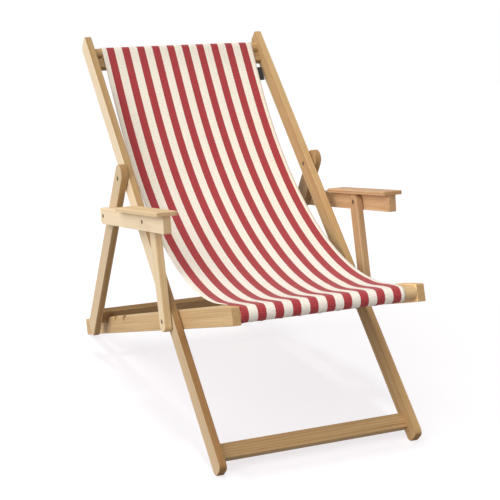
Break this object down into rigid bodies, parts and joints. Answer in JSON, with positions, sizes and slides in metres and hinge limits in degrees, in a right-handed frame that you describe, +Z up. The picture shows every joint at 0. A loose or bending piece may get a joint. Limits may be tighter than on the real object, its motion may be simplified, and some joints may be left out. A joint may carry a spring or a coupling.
{
  "type": "steamer deck chair",
  "caption": "Folding wooden deck chair with armrests, an adjustable prop and notched seat rails, and a striped canvas sling hung from a round top bar.",
  "frame": {"origin": "centre of the floor under the chair's outer box", "axes": "+Z up, front of the chair toward -Y, sitter's head toward +Y, +X to the right seen from the front"},
  "size_m": [0.62, 1.0654, 0.8532],
  "materials": {
    "wood": "smooth sanded",
    "canvas": "woven, striped red and cream",
    "tab": "plain woven tape",
    "steel": "dull"
  },
  "bodies": {
    "long_frame": {"long_rail_left": "wood", "long_rail_right": "wood", "top_rail": "wood", "top_bar": "wood", "floor_bar": "wood", "sling": "canvas", "sling_tab": "tab", "main_bolts": "steel", "main_nuts": "steel", "prop_bolts": "steel", "prop_nuts": "steel", "pivot_washers": "steel"},
    "seat_frame": {"seat_rail_left": "wood", "seat_rail_right": "wood", "seat_front_bar": "wood"},
    "prop_frame": {"prop_leg_left": "wood", "prop_leg_right": "wood", "prop_bar": "wood", "arm_rear_nuts": "steel"},
    "post_left": {"arm_post_left": "wood"},
    "arm_left": {"arm_rail_left": "wood", "armrest_left": "wood", "armrest_dowels_left": "wood", "arm_front_bolt_left": "steel", "arm_front_nut_left": "steel", "arm_rear_bolt_left": "steel", "arm_washers_left": "steel"},
    "post_right": {"arm_post_right": "wood"},
    "arm_right": {"arm_rail_right": "wood", "armrest_right": "wood", "armrest_dowels_right": "wood", "arm_front_bolt_right": "steel", "arm_front_nut_right": "steel", "arm_rear_bolt_right": "steel", "arm_washers_right": "steel"}
  },
  "joints": [
    {"name": "seat_fold", "type": "hinge", "parent": "long_frame", "child": "seat_frame", "pos_m": [0, -0.21178, 0.26748], "axis": [1, 0, 0], "range_deg": [0, 54], "deforming": ["sling"]},
    {"name": "prop_swing", "type": "hinge", "parent": "long_frame", "child": "prop_frame", "pos_m": [0, 0.09563, 0.54178], "axis": [1, 0, 0], "range_deg": [0, 103.27]},
    {"name": "post_left_swing", "type": "hinge", "parent": "long_frame", "child": "post_left", "pos_m": [0, -0.21178, 0.26748], "axis": [1, 0, 0], "range_deg": [-30.89, 0]},
    {"name": "arm_left_swing", "type": "hinge", "parent": "post_left", "child": "arm_left", "pos_m": [0, -0.1425, 0.48889], "axis": [1, 0, 0], "range_deg": [0, 82.73]},
    {"name": "post_right_swing", "type": "hinge", "parent": "long_frame", "child": "post_right", "pos_m": [0, -0.21178, 0.26748], "axis": [1, 0, 0], "range_deg": [-30.89, 0]},
    {"name": "arm_right_swing", "type": "hinge", "parent": "post_right", "child": "arm_right", "pos_m": [0, -0.1425, 0.48889], "axis": [1, 0, 0], "range_deg": [0, 82.73]}
  ],
  "couplings": [
    {"joint": "prop_swing", "follows": "seat_fold", "ratio": 1.9122},
    {"joint": "post_left_swing", "follows": "seat_fold", "ratio": -0.57187},
    {"joint": "arm_left_swing", "follows": "seat_fold", "ratio": 1.5318},
    {"joint": "post_right_swing", "follows": "seat_fold", "ratio": -0.57187},
    {"joint": "arm_right_swing", "follows": "seat_fold", "ratio": 1.5318}
  ]
}
